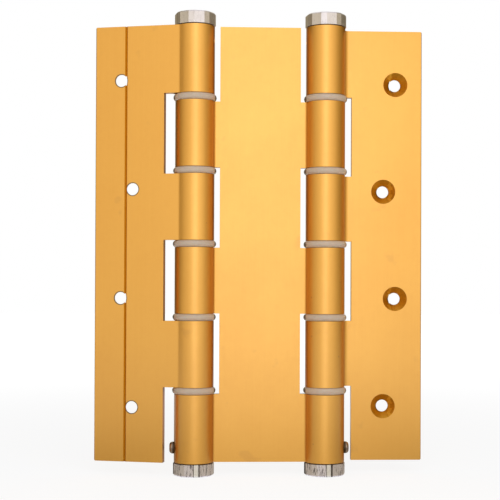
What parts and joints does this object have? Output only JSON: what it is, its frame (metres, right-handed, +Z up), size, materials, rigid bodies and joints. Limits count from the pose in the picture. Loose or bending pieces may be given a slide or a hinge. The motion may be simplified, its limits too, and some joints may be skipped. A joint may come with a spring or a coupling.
{
  "type": "double action spring hinge",
  "caption": "Double action cafe door hinge: two leaves and a centre plate on spring-loaded barrels with nylon washers, faceted end caps and lock screws.",
  "frame": {"origin": "middle of the centre plate, half way up the barrels, which is the middle of the whole hinge", "axes": "+Z up along the barrels, +X from the left leaf to the right leaf as the picture shows them, +Y to the back, away from the viewer"},
  "size_m": [0.1365, 0.0178, 0.1908],
  "materials": {
    "gold_anodised_aluminium": "satin gold anodised, extruded",
    "nylon": "translucent greige nylon",
    "cap_metal": "rough machined bare metal",
    "screw_steel": "zinc plated steel",
    "pin_steel": "plain steel",
    "tube_steel": "drawn steel",
    "spring_steel": "oiled spring wire"
  },
  "bodies": {
    "right_leaf": {"right_leaf": "gold_anodised_aluminium", "top_cap_right": "cap_metal", "cap_pin_right": "pin_steel"},
    "centre_plate": {"centre_plate": "gold_anodised_aluminium", "washer_left_1": "nylon", "washer_left_2": "nylon", "washer_left_3": "nylon", "washer_left_4": "nylon", "washer_left_5": "nylon", "pivot_tube_left": "tube_steel", "spring_left": "spring_steel", "lock_screw_left": "screw_steel", "washer_right_1": "nylon", "washer_right_2": "nylon", "washer_right_3": "nylon", "washer_right_4": "nylon", "washer_right_5": "nylon", "pivot_tube_right": "tube_steel", "spring_right": "spring_steel", "lock_screw_right": "screw_steel"},
    "left_leaf": {"left_leaf": "gold_anodised_aluminium", "top_cap_left": "cap_metal", "cap_pin_left": "pin_steel"},
    "tension_cap_left": {"tension_cap_left": "cap_metal"},
    "tension_cap_right": {"tension_cap_right": "cap_metal"}
  },
  "joints": [
    {"name": "right_hinge", "type": "hinge", "parent": "right_leaf", "child": "centre_plate", "pos_m": [0.02715, 0, 0], "axis": [0, 0, 1], "range_deg": [0, 180], "stiffness_Nm_per_rad": 0.04, "deforming": ["spring_right"]},
    {"name": "left_hinge", "type": "hinge", "parent": "centre_plate", "child": "left_leaf", "pos_m": [-0.02715, 0, 0], "axis": [0, 0, 1], "range_deg": [-166, 14], "stiffness_Nm_per_rad": 0.04, "deforming": ["spring_left"]},
    {"name": "left_tension", "type": "hinge", "parent": "centre_plate", "child": "tension_cap_left", "pos_m": [-0.02715, 0, -0.09], "axis": [0, 0, 1], "range_deg": [0, 360]},
    {"name": "right_tension", "type": "hinge", "parent": "centre_plate", "child": "tension_cap_right", "pos_m": [0.02715, 0, -0.09], "axis": [0, 0, 1], "range_deg": [0, 360]}
  ]
}
